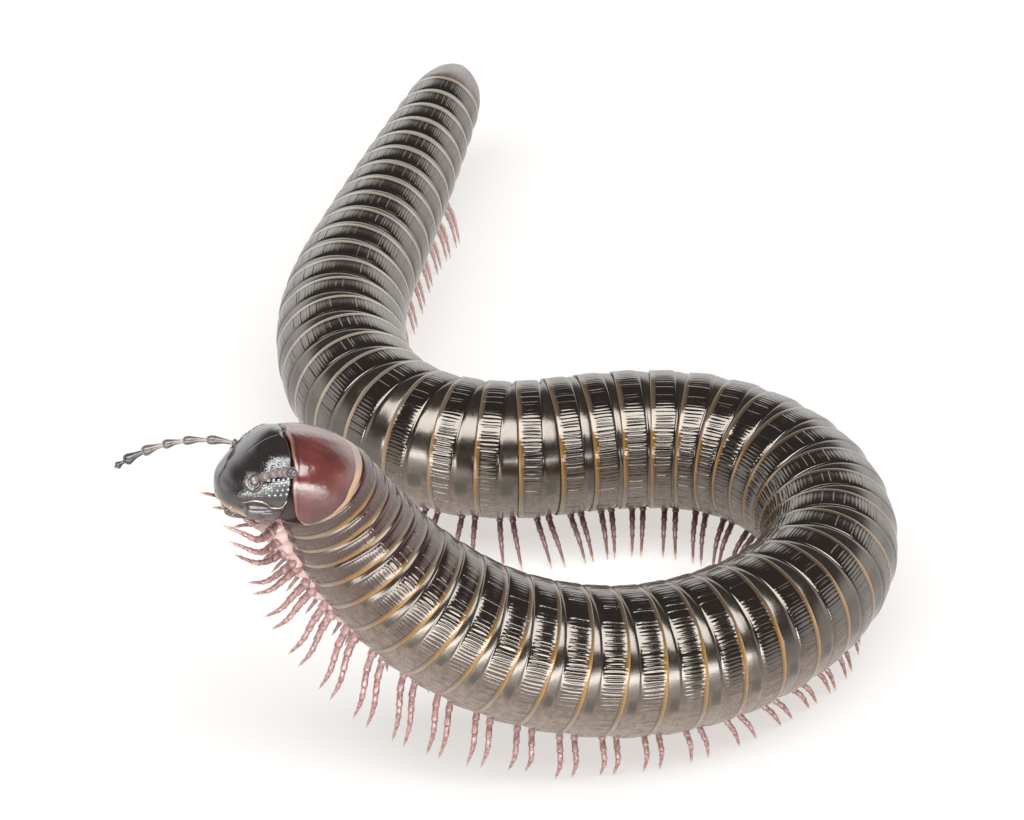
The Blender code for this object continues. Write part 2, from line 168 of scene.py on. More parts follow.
# The relief of the head. The socket's ring: height, distance and width, and its ripples: height, spacing and
# reach. The grooves down the middle: depth, half width, and where they start and are full. The line over the
# mouth: depth, height, half width, and where it starts and is full
SOCKET_RING = (0.07, 0.46, 0.07)
SOCKET_RIPPLE = (0.035, 0.15, 0.4)
CROWN_LINE = (0.014, 0.04, 1.2, 1.6)
CHIN_NOTCH = (0.1, 0.22, 1.85, 2.2)
MOUTH_LINE = (0.035, -1.62, 0.06, 1.4, 2.2)
CHEEK_WRINKLES = 0.4
FAR_SIDE_WRINKLES = 0.3
# The pale rim under the cheek: reach and height on the head
CHEEK_RIM = ((2.5, -0.61), (2.25, -0.4), (1.97, -0.25), (1.7, -0.22), (1.4, -0.3), (1.02, -0.58),
             (0.7, -0.6), (0.46, -0.42), (0.36, 0))
CHEEK_RIM_RADIUS = 0.044
# The rows of bristles: height, number and length
BRISTLE_ROWS = ((-1.25, 5, 0.28), (-1.8, 8, 0.34))
BRISTLE_RADIUS = 0.013

# The collum: its half turn round the body, and where its rear and front edges lie at each angle
COLLUM_FRONT_RADIUS = 2.75
COLLUM_WRAP = 114
COLLUM_REAR_EDGE = ((0, 0.06), (60, 0.05), (78, 0), (92, 0), (106, 0.07), (112, 0.2), (115, 0.42))
COLLUM_FRONT_EDGE = ((0, 1.07), (16, 1.04), (32, 1.05), (46, 1.04), (68, 1.075), (84, 1.03), (100, 0.925),
                     (108, 0.8), (112, 0.65), (115, 0.44))
COLLUM_TURN = 0.08
COLLUM_TOP_DIP = 0.26
COLLUM_THICK = 0.3
COLLUM_SWELL = (0.05, 0.25)
COLLUM_FRONT_STEP = 3
COLLUM_ROWS = 170
COLLUM_STATIONS = 56
# Its rim and groove in front and its groove behind: height, distance from that edge and width
COLLUM_FRONT_RELIEF = ((0.05, 0, 0.1), (-0.02, 0.24, 0.05))
COLLUM_REAR_RELIEF = ((-0.02, 0.36, 0.05),)

# The feelers, as in the solids
FEELER_JOINTS = (0.5, 1.4, 1.25, 1.1, 1.15, 1.05, 0.5)
FEELER_THICK = (0.31, 0.3, 0.29, 0.3, 0.34, 0.36, 0.24)
FEELER_LEFT = ((0.52, -0.56, 0.65), (0.24, -0.84, 0.5))
FEELER_RIGHT = ((-0.94, 0.13, 0.32), (-0.86, -0.33, -0.4))
FEELER_SHAPE = ((0, 0.34), (0.06, 0.4), (0.3, 0.5), (0.5, 0.66), (0.68, 0.84), (0.8, 0.86), (0.9, 0.74),
                (0.97, 0.5))
FEELER_SIDES = 16

# The telson, whose profile is a share of its length and one of the last ring's radius
TELSON_LENGTH = 4.4
TELSON_DROOP = 0.35
TELSON_HOOD = 0.16
TELSON_PROFILE = ((0, 0.93), (0.02, 0.95), (0.12, 0.955), (0.3, 0.9), (0.5, 0.8), (0.66, 0.66), (0.74, 0.57),
                  (0.76, 0.52), (0.72, 0.47), (0.6, 0.44))
VALVE_PLACE = 0.62
VALVE_ASIDE = 0.25
VALVE_SIZE = (0.36, 0.3, 0.5)

# The camera: the point it looks at, how far off it stands, its angle above the floor and its lens
CAMERA_TARGET = (-0.4, 7.025, 0)
CAMERA_DISTANCE = 320.9
CAMERA_ELEVATION = 33.54
CAMERA_LENS = 183.7

# The floor's half side and its own light
FLOOR_HALF = 3000
FLOOR_GLOW = 0.6
# The lights: angle above the floor, distance, width, height and watts
LIGHTS = {"overhead": (66, 550, 750, 340, 7), "front": (8, 380, 750, 95, 2.6)}
# The sky: the direction of its dark side, where it dims towards the top and towards that side, and the roots
# of its greatest and least brightness
DARK_SIDE = (0, -0.83, 0.55)
SKY_TOP = (0.28, 0.55)
SKY_SIDE = (0.1, 0.6)
SKY_BRIGHT = 1.35
SKY_DIM = 0.07


def unit(vectors):
    """The vectors at a length of 1."""
    vectors = np.asarray(vectors, float)
    return vectors / np.linalg.norm(vectors, axis=-1, keepdims=True)


def bell(value, width, power=2):
    """A share that is 1 at 0 and fades out over a width."""
    return np.exp(-((value / width) ** power))


def smooth(knots, place):
    """The value at a place on a smooth curve through the knots that doesn't overshoot them."""
    x = np.array([knot[0] for knot in knots], float)
    y = np.array([knot[1] for knot in knots], float)
    rise = np.diff(y) / np.diff(x)
    same = rise[:-1] * rise[1:] > 0
    inner = np.zeros(len(x) - 2)
    inner[same] = 2 * rise[:-1][same] * rise[1:][same] / (rise[:-1] + rise[1:])[same]
    slope = np.concatenate([rise[:1], inner, rise[-1:]])
    place = np.clip(place, x[0], x[-1])
    i = np.clip(np.searchsorted(x, place, side="right") - 1, 0, len(x) - 2)
    width = x[i + 1] - x[i]
    t = (place - x[i]) / width
    start_part = (2 * t**3 - 3 * t**2 + 1) * y[i] + (t**3 - 2 * t**2 + t) * width * slope[i]
    end_part = (3 * t**2 - 2 * t**3) * y[i + 1] + (t**3 - t**2) * width * slope[i + 1]
    return start_part + end_part


def steps_round(up, side, angles):
    """Steps round a circle or an oval whose half sizes lie upwards and to a side."""
    return up * np.cos(angles)[:, None] + side * np.sin(angles)[:, None]


def fade(value, start, end):
    """A share that goes smoothly from 0 at the start to 1 at the end."""
    share = np.clip((np.asarray(value, float) - start) / (end - start), 0, 1)
    return share * share * (3 - 2 * share)


def body_path():
    """The rings' places and directions along the body, from the neck to the tail."""
    places = np.arange((LAST_RING + 1) * STEPS_PER_RING + 1) / STEPS_PER_RING
    heading = np.radians(smooth(HEADING, places))
    slope = np.radians(smooth(SLOPE, places))
    back = np.stack([np.cos(slope) * np.cos(heading), np.cos(slope) * np.sin(heading), np.sin(slope)], 1)
    length = smooth(RING_LENGTH, places) / STEPS_PER_RING
    steps = (back[1:] + back[:-1]) / 2 * ((length[1:] + length[:-1]) / 2)[:, None]
    points = np.concatenate([[[0, 0, 0]], np.cumsum(steps, 0)])
    points[:, :2] += START
    points[:, 2] += AXIS_HEIGHT - points[-1, 2]
    return places, points, back


PLACES, POINTS, BACKS = body_path()


def body_frame(place):
    """The body's axis point at a place, its tailward, upward and leftward directions, and its radius."""
    point = np.array([np.interp(place, PLACES, POINTS[:, axis]) for axis in range(3)])
    back = unit([np.interp(place, PLACES, BACKS[:, axis]) for axis in range(3)])
    up = unit(np.array([0, 0, 1]) - back * back[2])
    return point, back, up, np.cross(back, up), smooth(RADIUS, place)


def between(first, last, share):
    """A direction between two unit directions, along the arc from one to the other."""
    angle = math.acos(np.clip(first @ last, -1, 1))
    if angle < 1e-6:
        return first
    return (first * math.sin((1 - share) * angle) + last * math.sin(share * angle)) / math.sin(angle)


def head_axes():
    """The head's forward, leftward and upward directions."""
    yaw, tilt, roll = (math.radians(angle) for angle in (HEAD_YAW, HEAD_TILT, HEAD_ROLL))
    forward = np.array([-math.cos(tilt) * math.cos(yaw), -math.cos(tilt) * math.sin(yaw), math.sin(tilt)])
    level = np.array([math.sin(yaw), -math.cos(yaw), 0])
    left = level * math.cos(roll) - np.cross(forward, level) * math.sin(roll)
    return forward, left, np.cross(forward, left)


HEAD_AXES = np.array(head_axes())
FORWARD, LEFT, UP = HEAD_AXES
NECK = POINTS[0] + np.array(NECK_STEP)


def head_point(forward, left, up):
    """The place of a point of the head that is given by its own directions."""
    spot = np.stack(np.broadcast_arrays(forward, left, up), -1)
    return NECK + spot @ HEAD_AXES


class Shape:
    """One piece's points and faces, and the skin values that steer its colours, gathered part by part."""

    def __init__(self):
        self.points = []
        self.skin = []
        self.faces = []
        self.count = 0

    def sweep(self, rows, skin=(0, 0, 0)):
        """A closed tube over rows of points, filled at both ends, with its faces outwards."""
        rows = np.asarray(rows, float)
        count, sides = rows.shape[:2]
        skin = np.broadcast_to(np.asarray(skin, float), rows.shape)
        corner = np.arange(count * sides).reshape(count, sides)
        beside = np.roll(corner, -1, 1)
        quads = np.stack([corner[:-1], beside[:-1], beside[1:], corner[1:]], -1).reshape(-1, 4)
        ends = [corner[0], beside[0], corner[-1], beside[-1]]
        first = np.full(sides, count * sides)
        caps = np.concatenate([np.stack([ends[1], ends[0], first], 1),
                               np.stack([ends[2], ends[3], first + 1], 1)])
        points = np.concatenate([rows.reshape(-1, 3), [rows[0].mean(0), rows[-1].mean(0)]])
        values = np.concatenate([skin.reshape(-1, 3), [skin[0].mean(0), skin[-1].mean(0)]])
        middle = points - points.mean(0)
        halves = np.concatenate([quads[:, [0, 1, 2]], quads[:, [0, 2, 3]], caps])
        a, b, c = (middle[halves[:, i]] for i in range(3))
        if (a * np.cross(b, c)).sum() < 0:
            quads = quads[:, ::-1]
            caps = caps[:, ::-1]
        self.points.append(points)
        self.skin.append(values)
        self.faces += [quads + self.count, caps + self.count]
        self.count += len(points)

    def tube(self, line, radii, sides, skin=(0, 0, 0), twist=(0, 0, 1)):
        """A round tube along a line of points, with a radius and skin values at each."""
        line = np.asarray(line, float)
        along = unit(np.gradient(line, axis=0))
        across = unit(np.cross(along, np.asarray(twist, float)))
        other = np.cross(along, across)
        angles = np.arange(sides) * math.tau / sides
        circle = steps_round(across[:, None], other[:, None], angles)
        values = np.asarray(skin, float)
        if values.ndim == 2:
            values = np.repeat(values[:, None], sides, 1)
        self.sweep(line[:, None] + circle * np.asarray(radii)[:, None, None], values)

    def egg(self, centre, axes, sizes, power=2, levels=16, sides=24, skin=(0, 0, 0)):
        """A rounded box or egg: its half sizes lie along the three axes, and a higher power is boxier."""
        tilt = np.linspace(-math.pi / 2, math.pi / 2, levels)[:, None]
        turn = np.linspace(0, math.tau, sides, endpoint=False)[None]
        share = 2 / power
        ball = np.stack([signed(np.cos(tilt), share) * signed(np.cos(turn), share),
                         signed(np.cos(tilt), share) * signed(np.sin(turn), share),
                         signed(np.sin(tilt), share) * np.ones_like(turn)], -1)
        ball[[0, -1], :, :2] = ball[[1, -2], :, :2] * 0.05
        self.sweep(np.asarray(centre) + (ball * np.asarray(sizes)) @ np.asarray(axes), skin)

    def build(self, name, material, replaced=()):
        """The finished piece, riding on the model's one body."""
        mesh = bpy.data.meshes.new(name)
        points = np.concatenate(self.points) * MM
        corners = np.concatenate([faces.ravel() for faces in self.faces])
        sizes = np.concatenate([np.full(len(faces), faces.shape[1]) for faces in self.faces])
        mesh.vertices.add(len(points))
        mesh.vertices.foreach_set("co", points.astype(np.float32).ravel())
        mesh.loops.add(len(corners))
        mesh.loops.foreach_set("vertex_index", corners.astype(np.int32))
        mesh.polygons.add(len(sizes))
        mesh.polygons.foreach_set("loop_start", (np.cumsum(sizes) - sizes).astype(np.int32))
        values = mesh.attributes.new("skin", "FLOAT_VECTOR", "POINT")
        values.data.foreach_set("vector", np.concatenate(self.skin).astype(np.float32).ravel())
        mesh.update(calc_edges=True)
        mesh.validate()
        mesh.shade_smooth()
        mesh.materials.append(material)
        piece = add_object(name, mesh)
        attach(piece, "root")
        if replaced:
            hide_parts(*replaced)


def add_object(name, data):
    """A new object in the scene."""
    thing = bpy.data.objects.new(name, data)
    bpy.context.scene.collection.objects.link(thing)
    return thing


def signed(value, power):
    """A power of the value that keeps its sign."""
    return np.sign(value) * np.abs(value) ** power


class Paint:
    """A material or sky in the making. Most methods add a node and give back its output."""

    def __init__(self, owner):
        owner.use_nodes = True
        self.owner = owner
        self.tree = owner.node_tree
        self.values = None

    def put(self, socket, value):
        if isinstance(value, bpy.types.NodeSocket):
            self.tree.links.new(value, socket)
        elif socket.type == "RGBA":
            socket.default_value = (*value, 1)
        else:
            socket.default_value = value

    def skin(self, axis):
        """One of the three values that the mesh carries at each point."""
        if self.values is None:
            attribute = self.node("Attribute")
            attribute.attribute_name = "skin"
            self.values = self.node("SeparateXYZ", Vector=attribute.outputs["Vector"])
        return self.values.outputs[axis]

    def node(self, kind, **values):
        """A new node of a kind with its inputs set, which are named with _ for each space."""
        node = self.tree.nodes.new("ShaderNode" + kind)
        for name, value in values.items():
            self.put(node.inputs[name.replace("_", " ")], value)
        return node

    def noise(self, scale, detail):
        where = self.node("TexCoord").outputs["Object"]
        return self.node("TexNoise", Vector=where, Scale=scale, Detail=detail, Roughness=0.55).outputs["Fac"]

    def cells(self, scale):
        node = self.node("TexVoronoi", Vector=self.node("TexCoord").outputs["Object"], Scale=scale)
        node.feature = "DISTANCE_TO_EDGE"
        return node.outputs["Distance"]

    def band(self, value, start, end, low=0, high=1):
        """A smooth step of a value from low to high."""
        node = self.node("MapRange", Value=value, From_Min=start, From_Max=end, To_Min=low, To_Max=high)
        node.interpolation_type = "SMOOTHSTEP"
        return node.outputs["Result"]

    def hump(self, value, centre, inner, outer):
        """A share that is 1 within the inner distance of a centre and 0 beyond the outer one."""
        away = self.calculate("ABSOLUTE", self.calculate("SUBTRACT", value, centre), 0)
        return self.band(away, inner, outer, 1, 0)

    def calculate(self, operation, first, second):
        node = self.node("Math")
        node.operation = operation
        self.put(node.inputs[0], first)
        self.put(node.inputs[1], second)
        return node.outputs[0]

    def times(self, first, second):
        return self.calculate("MULTIPLY", first, second)

    def blend(self, share, first, second):
        """A colour between two others."""
        node = self.node("Mix")
        node.data_type = "RGBA"
        sockets = {socket.identifier: socket for socket in node.inputs}
        self.put(sockets["Factor_Float"], share)
        self.put(sockets["A_Color"], first)
        self.put(sockets["B_Color"], second)
        return next(socket for socket in node.outputs if socket.identifier == "Result_Color")

    def bump(self, height, depth):
        """Fine relief of a depth in millimetres."""
        return self.node("Bump", Strength=1, Distance=depth * MM, Height=height).outputs["Normal"]

    def finish(self, **settings):
        """The material with its shader's sockets set, which are named with _ for each space."""
        surface = self.tree.nodes["Principled BSDF"]
        for name, value in settings.items():
            self.put(surface.inputs[name.replace("_", " ")], value)
        return self.owner


def trunk_material(name, ior):
    """Glossy near-black rings. Skin X is the turn from the back to the belly, Y the place on the ring by the
    marks, and Z the ring."""
    paint = Paint(bpy.data.materials.new(name))
    around = paint.skin("X")
    along = paint.skin("Y")
    ring = paint.skin("Z")
    cloud = paint.noise(900, 3)
    mottle = paint.noise(2600, 4)
    speckle = paint.noise(9000, 3)
    low = paint.band(paint.calculate("ADD", around, paint.times(cloud, 0.1)), 0.4, 0.76)
    front = paint.band(ring, 3, 9.5, 1, 0)
    smooth_part = paint.band(along, 0.64, FRONT_MARK)
    brown = paint.blend(paint.band(mottle, 0.3, 0.7), (0.12, 0.083, 0.062), (0.205, 0.15, 0.117))
    cuticle = paint.blend(low, (0.009, 0.006, 0.0045), brown)
    bare = paint.blend(low, (0.014, 0.01, 0.0075), brown)
    colour = paint.blend(smooth_part, cuticle, bare)
    colour = paint.blend(paint.times(front, 0.8), colour, (0.042, 0.015, 0.015))
    pore = paint.times(paint.hump(around, 0.52, 0.015, 0.055), paint.hump(along, 0.8, 0.05, 0.12))
    colour = paint.blend(paint.times(pore, 0.85), colour, (0.008, 0.007, 0.007))
    # Painted light: the gold margin is a lit, bright copy on the flank and a shaded, darker copy on the back;
    # the pale tan on the belly is its own tone
    lit_flank = paint.hump(around, 0.42, 0.06, 0.26)
    belly = paint.band(around, 0.52, 0.66)
    gold = paint.blend(belly, paint.blend(lit_flank, (0.072, 0.05, 0.031), (0.195, 0.102, 0.022)),
                       (0.19, 0.142, 0.088))
    amber = paint.blend(belly, paint.blend(lit_flank, (0.046, 0.031, 0.02), (0.11, 0.052, 0.011)),
                        (0.14, 0.104, 0.068))
    gold = paint.blend(paint.band(along, 0.05, 0.1), gold, amber)
    gold = paint.blend(paint.band(ring, 35, 43), gold, (0.2, 0.165, 0.13))
    # Painted shade: a near-black line in the groove just ahead of the gold margin, with a fifth of that dark
    # left over the rest of the ring
    colour = paint.blend(paint.band(along, 0.14, 0.17, 0, 0.8), (0.005, 0.003, 0.003), colour)
    colour = paint.blend(paint.band(along, 0.12, 0.14), gold, colour)
    colour = paint.blend(paint.band(speckle, 0.35, 0.7, 0, 0.2), colour, (0, 0, 0))
    rough = paint.band(mottle, 0.3, 0.75, 0.13, 0.2)
    rough = paint.calculate("ADD", rough, paint.times(smooth_part, 0.06))
    relief = paint.bump(speckle, 0.002)
    return paint.finish(Base_Color=colour, Roughness=rough, Normal=relief, IOR=ior,
                        Specular_Tint=(1, 0.9, 0.8), Coat_Weight=0.1, Coat_Roughness=0.1)


def collum_material():
    """Wine-red gloss. Skin X is the turn from the back, Y and Z the distances from the rear and the front."""
    paint = Paint(bpy.data.materials.new("collum"))
    speckle = paint.noise(8000, 4)
    cloud = paint.noise(700, 3)
    rear = paint.skin("Y")
    front = paint.skin("Z")
    colour = paint.blend(paint.band(cloud, 0.2, 0.8), (0.105, 0.022, 0.017), (0.045, 0.01, 0.009))
    # Painted shade: a dark line in the groove behind the front rim
    colour = paint.blend(paint.hump(front, 0.24, 0.01, 0.05), colour, (0.04, 0.01, 0.008))
    # Painted shade: a dark band in the groove ahead of the pale rear band
    colour = paint.blend(paint.band(rear, 0.44, 0.54, 0.6, 0), colour, (0.02, 0.008, 0.006))
    gold = paint.blend(paint.band(paint.skin("X"), 0.15, 0.45), (0.16, 0.095, 0.07), (0.28, 0.17, 0.09))
    colour = paint.blend(paint.band(rear, 0.34, 0.42, 1, 0), colour, gold)
    colour = paint.blend(paint.band(front, 0.1, 0.16, 0.7, 0), colour, (0.16, 0.075, 0.05))
    dent = paint.noise(1600, 2)
    relief = paint.bump(paint.calculate("ADD", dent, paint.times(speckle, 0.08)), 0.035)
    rough = paint.band(cloud, 0.3, 0.75, 0.2, 0.27)
    return paint.finish(Base_Color=colour, Roughness=rough, Normal=relief, IOR=1.65, Coat_Weight=0.3,
                        Coat_Roughness=0.12)


def head_material():
    """Near-black gloss. Skin X is the wrinkled field by the eye, Y the tan mouth edge, Z the socket."""
    paint = Paint(bpy.data.materials.new("head"))
    wrinkled = paint.skin("X")
    tan = paint.skin("Y")
    cloud = paint.noise(1200, 3)
    fine = paint.noise(7000, 4)
    net = paint.cells(5200)
    colour = paint.blend(cloud, (0.008, 0.007, 0.007), (0.018, 0.014, 0.013))
    colour = paint.blend(tan, colour, (0.25, 0.135, 0.06))
    colour = paint.blend(paint.times(paint.skin("Z"), 0.7), colour, (0.055, 0.034, 0.03))
    height = paint.times(paint.band(net, 0, 0.35), wrinkled)
    height = paint.calculate("ADD", height, paint.times(fine, 0.12))
    rough = paint.band(fine, 0.3, 0.75, 0.12, 0.2)
    return paint.finish(Base_Color=colour, Roughness=rough, Normal=paint.bump(height, 0.015), IOR=1.6,
                        Coat_Weight=0.6, Coat_Roughness=0.1)


def plain_material(name, dark, pale, scale, roughness, relief=0.005, **settings):
    """Horn or skin with a mottled colour, an uneven gloss and a fine grain."""
    paint = Paint(bpy.data.materials.new(name))
    grain = paint.noise(scale, 4)
    fine = paint.noise(scale * 6, 3)
    colour = paint.blend(paint.band(grain, 0.3, 0.7), dark, pale)
    rough = paint.band(fine, 0.3, 0.7, roughness * 0.8, roughness * 1.25)
    return paint.finish(Base_Color=colour, Roughness=rough, Normal=paint.bump(fine, relief), **settings)


def leg_material():
    """Pinkish skin with darker joints and a yellow claw. Skin X is the place on the leg, and -1 on the ridge,
    Y is 1 at a joint, and Z is 1 where the legs are painted dark as shade and below 0 where they are painted
    pale as glare."""
    paint = Paint(bpy.data.materials.new("leg"))
    along = paint.skin("X")
    mottle = paint.noise(5000, 4)
    patch = paint.band(mottle, 0.38, 0.66)
    colour = paint.blend(patch, (0.33, 0.19, 0.175), (0.15, 0.066, 0.062))
    # Painted shade: the legs are darkened by ring where they hang in shade
    colour = paint.blend(paint.times(paint.skin("Z"), 0.6), colour, (0.085, 0.03, 0.03))
    colour = paint.blend(paint.times(paint.skin("Y"), 0.5), colour, (0.075, 0.03, 0.028))
    colour = paint.blend(paint.band(along, 0.84, 0.95), colour, (0.33, 0.215, 0.11))
    pale = paint.blend(patch, (0.54, 0.385, 0.358), (0.45, 0.29, 0.268))
    colour = paint.blend(paint.band(along, -0.3, 0.3, 1, 0), colour, pale)
    # Painted light: the hind legs are paled as if washed out by bright light
    colour = paint.blend(paint.band(paint.skin("Z"), -0.1, -0.9), colour, pale)
    rough = paint.band(mottle, 0.3, 0.7, 0.28, 0.45)
    return paint.finish(Base_Color=colour, Roughness=rough, Normal=paint.bump(mottle, 0.008), IOR=1.5,
                        Subsurface_Weight=0.2, Subsurface_Radius=(0.0004, 0.0002, 0.00015),
                        Coat_Weight=0.4, Coat_Roughness=0.15)


def feeler_material():
    """Grey-brown articles with pale joints. Skin X is 1 at a joint and Y is 1 on the dark tip."""
    paint = Paint(bpy.data.materials.new("feeler"))
    grain = paint.noise(6000, 4)
    colour = paint.blend(paint.band(grain, 0.3, 0.7), (0.045, 0.032, 0.03), (0.095, 0.072, 0.066))
    colour = paint.blend(paint.skin("X"), colour, (0.19, 0.15, 0.135))
    colour = paint.blend(paint.times(paint.skin("Y"), 0.85), colour, (0.01, 0.012, 0.011))
    rough = paint.band(grain, 0.3, 0.7, 0.24, 0.4)
    return paint.finish(Base_Color=colour, Roughness=rough, Normal=paint.bump(grain, 0.012), IOR=1.55,
                        Coat_Weight=0.4, Coat_Roughness=0.15)


def ring_columns(ring, chance):
    """One ring's columns: their angles at its rear and its suture, how far they bow between, how deep they
    still are at the suture, their turn from the back to the belly, and how deep they cut."""

    def draws(low, high):
        return np.array([chance.uniform(low, high) for _ in range(STRIAE)])

    step = math.tau / STRIAE
    share, cut = np.array(STRIA_COLUMNS).T
    depth = draws(*STRIA_DEPTH_CHANCE)
    ends = []
    for _ in range(2):
        grooves = (np.arange(STRIAE) + draws(-STRIA_SWAY, STRIA_SWAY)) * step
        following = np.append(grooves[1:], grooves[0] + math.tau)
        ends.append((grooves[:, None] + (following - grooves)[:, None] * share).ravel())
    bow = np.repeat(draws(-STRIA_SWAY, STRIA_SWAY) * step, len(share))
    reach = np.repeat(draws(*STRIA_END_CHANCE), len(share))
    away = np.abs((ends[0] + math.pi) % math.tau - math.pi) / math.pi
    deepest = smooth(STRIA_DEPTH_ROUND, away) * smooth(STRIA_DEPTH_BY_RING, ring) * STRIA_DEPTH
    return ends, bow, reach, away, (depth[:, None] * cut).ravel() * deepest


def ring_outline(angles, up, left):
    """Outward steps round the body for a radius of 1, with a slightly flat belly."""
    height = np.cos(angles)
    low = height < -BELLY_FLAT
    height = np.where(low, -BELLY_FLAT - (-BELLY_FLAT - height) * 0.15, height)
    return up * height[:, None] + left * np.sin(angles)[:, None]


def ring_rows(ring, chance):
    """One ring's rows of points and skin values, from its tucked front to the fold inside its rear edge."""
    (rear_angles, front_angles), bow, reach, away, cut = ring_columns(ring, chance)
    point, back, up, left, radius = body_frame(ring)
    radius *= 1 + chance.uniform(-RING_CHANCE, RING_CHANCE)
    outline = ring_outline(front_angles, up, left)
    before, before_back, before_up, before_left, before_radius = body_frame(ring - 1)
    before_outline = ring_outline(front_angles, before_up, before_left)
    room = np.einsum("ij,j->i", point + outline * radius - before - before_outline * before_radius, back)
    hard = HARD_SHARE * smooth(RING_LENGTH, ring)
    squeeze = np.clip((room - RING_OVERLAP) / hard, LEAST_SQUEEZE, 1)[:, None]

    def skin_at(along):
        return np.stack([away, np.full_like(away, along), np.full_like(away, ring)], 1)

    def row(ahead, share, groove, along):
        place = min(max(ahead / hard, 0), 1)
        angles = rear_angles + (front_angles - rear_angles) * place + bow * math.sin(math.pi * place)
        depth = cut * groove * (1 + (reach - 1) * fade(place, *STRIA_END))
        outward = ring_outline(angles, up, left) * (radius * share - depth)[:, None]
        return point + outward - back * ahead * squeeze, skin_at(along)

    rows = []
    for share, size in reversed(FRONT_ROWS):
        start, _ = row(hard * SUTURE_ROWS[-1][0], SUTURE_ROWS[-1][1], 0, 0)
        tucked = before + before_outline * before_radius * FRONT_ROWS[-1][1] - before_back * FRONT_TUCK
        spot = start + (tucked - start) * share
        middle = point + (before - point) * share
        axis = unit(back + (before_back - back) * share)
        outward = spot - middle
        outward -= (outward @ axis)[:, None] * axis
        size_here = (radius + (before_radius - radius) * share) * size
        outward *= (size_here / np.linalg.norm(outward, axis=1) * np.linalg.norm(outline, axis=1))[:, None]
        along_part = ((spot - middle) @ axis)[:, None] * axis
        rows.append((middle + along_part + outward, skin_at(FRONT_MARK + (1 - FRONT_MARK) * share)))
    mark_step = SUTURE_MARK - MARGIN_MARK
    for share, size in reversed(SUTURE_ROWS):
        size = 1 - (1 - size) * smooth(SUTURE_DEPTH, ring)
        rows.append(row(hard * share, size, 0, SUTURE_MARK + (share - 1) * mark_step))
    for share, size, groove in reversed(HARD_ROWS):
        rows.append(row(MARGIN + (hard - MARGIN) * share, size, groove, MARGIN_MARK + mark_step * share))
    for ahead, size, groove in reversed(MARGIN_ROWS):
        rows.append(row(ahead, size, groove, MARGIN_MARK * ahead / MARGIN))
    for ahead, size in reversed(LIP_ROWS):
        rows.append(row(ahead, size, 0, 0.02))
    return rows


def add_trunk():
    """The rings in lengths of seven. The first length, behind the collum, is a little less glossy."""
    chance = random.Random(SEED)
    front = trunk_material("trunk_front", 1.7)
    rear = trunk_material("trunk", 1.85)
    for first, last in LENGTHS:
        rows = [row for ring in range(first, last + 1) for row in ring_rows(ring, chance)]
        shape = Shape()
        shape.sweep([points for points, _ in rows], [skin for _, skin in rows])
        material = front if first == FIRST_TRUNK_RING else rear
        name = f"rings_{first:02d}_{last:02d}"
        shape.build(name, material, ["trunk_" + name])


def leg_joints(place, side, number, chance):
    """The four points that a leg of the solids follows, and the body's direction there."""
    point, back, up, left, radius = body_frame(place)
    out = left * side
    belly = radius * BELLY_FLAT
    drop = smooth(RIDGE_DROP, place)
    reach = smooth(LEG_REACH[side], place)
    wave = math.sin(math.tau * number / STEP_WAVE_LEGS + side)
    lead = smooth(FOOT_LEAD, place) + STEP_WAVE * wave + chance.uniform(-STEP_CHANCE, STEP_CHANCE)
    foot_out = smooth(FOOT_OUT[side], place) + OUT_WAVE * wave
    foot = point + out * foot_out - up * (belly + reach) - back * lead
    if foot[2] < FLOOR_REACH:
        reach *= point[2] / (point[2] - foot[2])
        foot[2] = 0.02
    splay = max(foot_out - USUAL_FOOT_OUT, 0)
    points = [point + out * ROOT_OUT - up * (belly + drop - ROOT_DEPTH)]
    for (knee_out, knee_down, splay_share), share in zip(KNEES, LEAD_SHARES):
        down = belly + drop + (reach - drop) * knee_down
        points.append(point + out * (knee_out + splay * splay_share) - up * down - back * lead * share)
    points.append(foot)
    return np.array(points), back


def add_leg(shape, points, back, shade_and_glare, stout_root):
    """One leg of six articles and a claw along a smooth line through its joints."""
    steps = np.linalg.norm(np.diff(points, axis=0), axis=1)
    marks = np.concatenate([[0], np.cumsum(steps)]) / steps.sum()
    places, radii, skin = [], [], []
    for i, thick in enumerate(LEG_RADII):
        begin, end = LEG_ARTICLES[i], LEG_ARTICLES[i + 1]
        claw = i == len(LEG_RADII) - 1
        following = thick if claw else LEG_RADII[i + 1]
        for share, width in (CLAW_SHAPE if claw else ARTICLE_SHAPE):
            places.append(begin + (end - begin) * share)
            stout = 1 + FRONT_LEG_STOUT * max(stout_root - places[-1] * 2, 0)
            radii.append((thick + (following - thick) * share * 0.8) * width * stout)
            skin.append((places[-1], 1 if share < 0.05 else 0.6 if share > 0.9 and not claw else 0, shade_and_glare))
    line = np.stack([smooth(list(zip(marks, points[:, axis])), np.array(places)) for axis in range(3)], 1)
    shape.tube(line, radii, LEG_SIDES, skin, back)


def add_ridge(shape, first, last):
    """The pale ridge under the belly of the first rings, from which their legs hang."""
    start = first - 1 + 0.2
    end = min(last - 0.1, RIDGE_DROP[-1][0])
    angles = np.linspace(0, math.tau, 24, endpoint=False)
    rows = []
    for place in np.linspace(start, end, 60):
        point, _, up, left, radius = body_frame(place)
        swell = 1.12 + 0.14 * math.cos(math.tau * (place - SINGLE_PLACE) * (1 if place < 4 else 2))
        half_height = (smooth(RIDGE_DROP, place) + ROOT_DEPTH) / 2
        centre = point - up * (radius * BELLY_FLAT - ROOT_DEPTH + half_height)
        rows.append(centre + swell * steps_round(up * half_height, left * RIDGE_HALF_WIDTH, angles))
    shape.sweep(rows, (-1, 0, 0))


